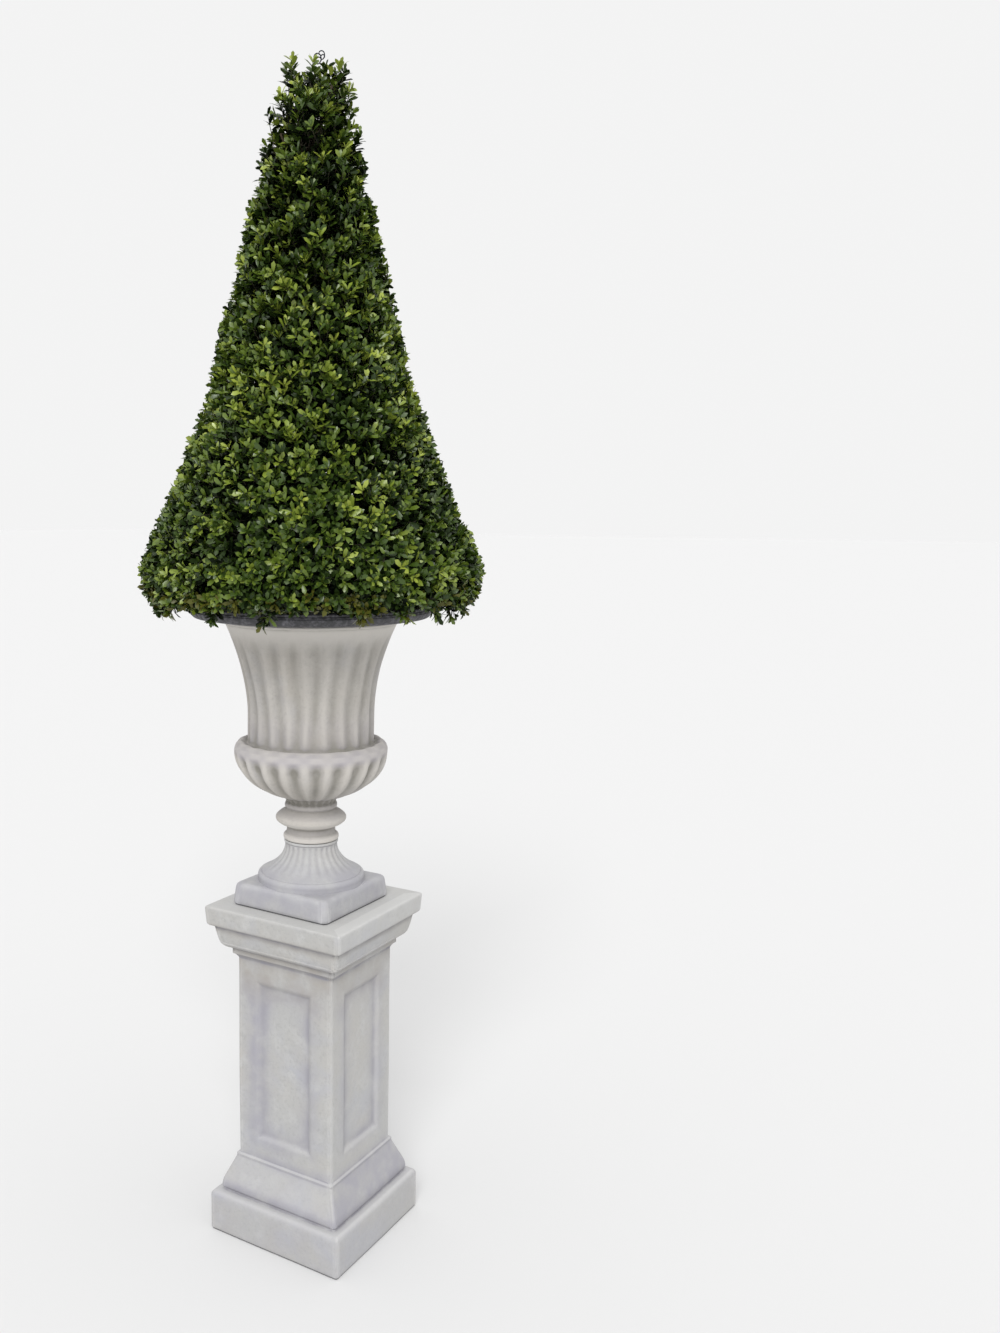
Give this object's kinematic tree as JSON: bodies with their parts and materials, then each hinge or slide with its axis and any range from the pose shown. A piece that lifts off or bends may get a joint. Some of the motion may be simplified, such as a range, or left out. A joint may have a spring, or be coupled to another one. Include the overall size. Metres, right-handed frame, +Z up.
{
  "type": "artificial boxwood cone topiary",
  "caption": "Clipped artificial boxwood cone in a fluted, gadrooned urn with a wide dark lip, standing on a square panelled pedestal.",
  "frame": {"origin": "middle of the pedestal's flat underside, on the ground", "axes": "+Z up; X and Y square to the pedestal's faces; the picture looks at the upright edge between the -Y face and the +X face"},
  "size_m": [0.734, 0.7409, 2.5519],
  "materials": {
    "pedestal_stone": "matt, weathered cast stone",
    "urn_stone": "matt, weathered cast stone with grey dirt in its grooves",
    "dark_stone": "matt, dark grey",
    "planting_mix": "matt, loose and dark",
    "bark": "matt, rough",
    "leaves": "satin, green"
  },
  "bodies": {
    "root": {"pedestal": "pedestal_stone", "urn_foot": "urn_stone", "urn_vase": "urn_stone", "urn_lip": "dark_stone", "planting_fill": "planting_mix", "stem": "bark", "foliage_cone": "leaves"}
  },
  "joints": []
}
